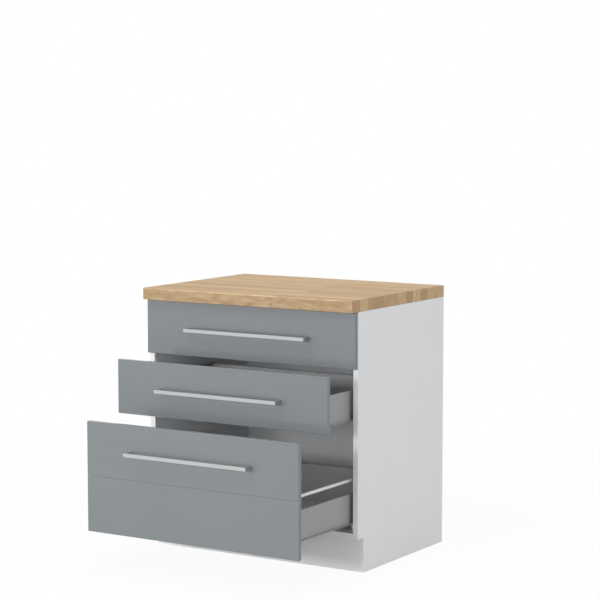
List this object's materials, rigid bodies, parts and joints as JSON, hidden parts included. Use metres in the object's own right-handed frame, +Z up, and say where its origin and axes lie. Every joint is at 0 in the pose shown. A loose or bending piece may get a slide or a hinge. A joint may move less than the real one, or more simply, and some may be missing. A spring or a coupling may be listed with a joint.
{
  "type": "kitchen base cabinet with drawers",
  "caption": "Kitchen base cabinet with a wood worktop, a recessed plinth and full-width drawers in steel-sided boxes on roller runners.",
  "frame": {"origin": "on the floor, under the middle of the plinth board", "axes": "+X to the right of someone facing the fronts, +Y from the fronts to the wall, +Z up"},
  "size_m": [0.8, 0.9435, 0.87],
  "materials": {
    "oak": "oiled oak staves",
    "white_board": "white melamine on chipboard",
    "white_back": "white lacquered hardboard",
    "base_board": "pale grey melamine on chipboard",
    "wall_board": "light grey melamine on chipboard",
    "grey_lacquer": "gloss grey lacquer on MDF",
    "handle_steel": "satin stainless steel",
    "coated_steel": "grey powder coat",
    "rail_steel": "pale grey powder coat on a tube",
    "nylon": "natural nylon",
    "zinc": "zinc plated"
  },
  "bodies": {
    "carcass": {"side_panel_left": "white_board", "side_panel_right": "white_board", "bottom_panel": "white_board", "front_rail": "white_board", "rear_rail": "white_board", "plinth_board": "white_board", "back_panel": "white_back", "worktop": "oak", "worktop_screw_front_left": "zinc", "worktop_screw_front_right": "zinc", "worktop_screw_rear_left": "zinc", "worktop_screw_rear_right": "zinc", "top_runner_left": "zinc", "top_runner_right": "zinc", "middle_runner_left": "zinc", "middle_runner_right": "zinc", "bottom_runner_left": "zinc", "bottom_runner_right": "zinc"},
    "top_drawer": {"top_front": "grey_lacquer", "top_handle": "handle_steel", "top_steel_side_left": "coated_steel", "top_steel_side_right": "coated_steel", "top_base": "base_board", "top_back_wall": "wall_board", "top_front_bracket_left": "zinc", "top_front_bracket_right": "zinc"},
    "top_front_roller_left": {"top_front_roller_left": "nylon"},
    "top_rear_roller_left": {"top_rear_roller_left": "nylon"},
    "top_front_roller_right": {"top_front_roller_right": "nylon"},
    "top_rear_roller_right": {"top_rear_roller_right": "nylon"},
    "middle_drawer": {"middle_front": "grey_lacquer", "middle_handle": "handle_steel", "middle_steel_side_left": "coated_steel", "middle_steel_side_right": "coated_steel", "middle_base": "base_board", "middle_back_wall": "wall_board", "middle_front_bracket_left": "zinc", "middle_front_bracket_right": "zinc"},
    "middle_front_roller_left": {"middle_front_roller_left": "nylon"},
    "middle_rear_roller_left": {"middle_rear_roller_left": "nylon"},
    "middle_front_roller_right": {"middle_front_roller_right": "nylon"},
    "middle_rear_roller_right": {"middle_rear_roller_right": "nylon"},
    "bottom_drawer": {"bottom_front": "grey_lacquer", "bottom_handle": "handle_steel", "bottom_steel_side_left": "coated_steel", "bottom_steel_side_right": "coated_steel", "bottom_base": "base_board", "bottom_back_wall": "wall_board", "bottom_front_bracket_left": "zinc", "bottom_front_bracket_right": "zinc", "bottom_gallery_rail_left": "rail_steel", "bottom_rail_holder_front_left": "rail_steel", "bottom_rail_holder_rear_left": "rail_steel", "bottom_gallery_rail_right": "rail_steel", "bottom_rail_holder_front_right": "rail_steel", "bottom_rail_holder_rear_right": "rail_steel"},
    "bottom_front_roller_left": {"bottom_front_roller_left": "nylon"},
    "bottom_rear_roller_left": {"bottom_rear_roller_left": "nylon"},
    "bottom_front_roller_right": {"bottom_front_roller_right": "nylon"},
    "bottom_rear_roller_right": {"bottom_rear_roller_right": "nylon"}
  },
  "joints": [
    {"name": "top_drawer_slide", "type": "slide", "parent": "carcass", "child": "top_drawer", "axis": [0, -1, 0], "range_m": [0, 0.376]},
    {"name": "top_front_roller_left_spin", "type": "hinge", "parent": "carcass", "child": "top_front_roller_left", "pos_m": [-0.375, -0.028, 0.6602], "axis": [1, 0, 0], "continuous": true},
    {"name": "top_rear_roller_left_spin", "type": "hinge", "parent": "top_drawer", "child": "top_rear_roller_left", "pos_m": [-0.375, 0.436, 0.657], "axis": [1, 0, 0], "continuous": true},
    {"name": "top_front_roller_right_spin", "type": "hinge", "parent": "carcass", "child": "top_front_roller_right", "pos_m": [0.375, -0.028, 0.6602], "axis": [1, 0, 0], "continuous": true},
    {"name": "top_rear_roller_right_spin", "type": "hinge", "parent": "top_drawer", "child": "top_rear_roller_right", "pos_m": [0.375, 0.436, 0.657], "axis": [1, 0, 0], "continuous": true},
    {"name": "middle_drawer_slide", "type": "slide", "parent": "carcass", "child": "middle_drawer", "axis": [0, -1, 0], "range_m": [-0.16356, 0.21244]},
    {"name": "middle_front_roller_left_spin", "type": "hinge", "parent": "carcass", "child": "middle_front_roller_left", "pos_m": [-0.375, -0.028, 0.4802], "axis": [1, 0, 0], "continuous": true},
    {"name": "middle_rear_roller_left_spin", "type": "hinge", "parent": "middle_drawer", "child": "middle_rear_roller_left", "pos_m": [-0.375, 0.27244, 0.477], "axis": [1, 0, 0], "continuous": true},
    {"name": "middle_front_roller_right_spin", "type": "hinge", "parent": "carcass", "child": "middle_front_roller_right", "pos_m": [0.375, -0.028, 0.4802], "axis": [1, 0, 0], "continuous": true},
    {"name": "middle_rear_roller_right_spin", "type": "hinge", "parent": "middle_drawer", "child": "middle_rear_roller_right", "pos_m": [0.375, 0.27244, 0.477], "axis": [1, 0, 0], "continuous": true},
    {"name": "bottom_drawer_slide", "type": "slide", "parent": "carcass", "child": "bottom_drawer", "axis": [0, -1, 0], "range_m": [-0.329, 0.047]},
    {"name": "bottom_front_roller_left_spin", "type": "hinge", "parent": "carcass", "child": "bottom_front_roller_left", "pos_m": [-0.375, -0.028, 0.1517], "axis": [1, 0, 0], "continuous": true},
    {"name": "bottom_rear_roller_left_spin", "type": "hinge", "parent": "bottom_drawer", "child": "bottom_rear_roller_left", "pos_m": [-0.375, 0.107, 0.1485], "axis": [1, 0, 0], "continuous": true},
    {"name": "bottom_front_roller_right_spin", "type": "hinge", "parent": "carcass", "child": "bottom_front_roller_right", "pos_m": [0.375, -0.028, 0.1517], "axis": [1, 0, 0], "continuous": true},
    {"name": "bottom_rear_roller_right_spin", "type": "hinge", "parent": "bottom_drawer", "child": "bottom_rear_roller_right", "pos_m": [0.375, 0.107, 0.1485], "axis": [1, 0, 0], "continuous": true}
  ],
  "couplings": [
    {"joint": "top_front_roller_left_spin", "follows": "top_drawer_slide", "rad_per_m": 111.11},
    {"joint": "top_rear_roller_left_spin", "follows": "top_drawer_slide", "rad_per_m": 111.11},
    {"joint": "top_front_roller_right_spin", "follows": "top_drawer_slide", "rad_per_m": 111.11},
    {"joint": "top_rear_roller_right_spin", "follows": "top_drawer_slide", "rad_per_m": 111.11},
    {"joint": "middle_front_roller_left_spin", "follows": "middle_drawer_slide", "rad_per_m": 111.11},
    {"joint": "middle_rear_roller_left_spin", "follows": "middle_drawer_slide", "rad_per_m": 111.11},
    {"joint": "middle_front_roller_right_spin", "follows": "middle_drawer_slide", "rad_per_m": 111.11},
    {"joint": "middle_rear_roller_right_spin", "follows": "middle_drawer_slide", "rad_per_m": 111.11},
    {"joint": "bottom_front_roller_left_spin", "follows": "bottom_drawer_slide", "rad_per_m": 111.11},
    {"joint": "bottom_rear_roller_left_spin", "follows": "bottom_drawer_slide", "rad_per_m": 111.11},
    {"joint": "bottom_front_roller_right_spin", "follows": "bottom_drawer_slide", "rad_per_m": 111.11},
    {"joint": "bottom_rear_roller_right_spin", "follows": "bottom_drawer_slide", "rad_per_m": 111.11}
  ]
}
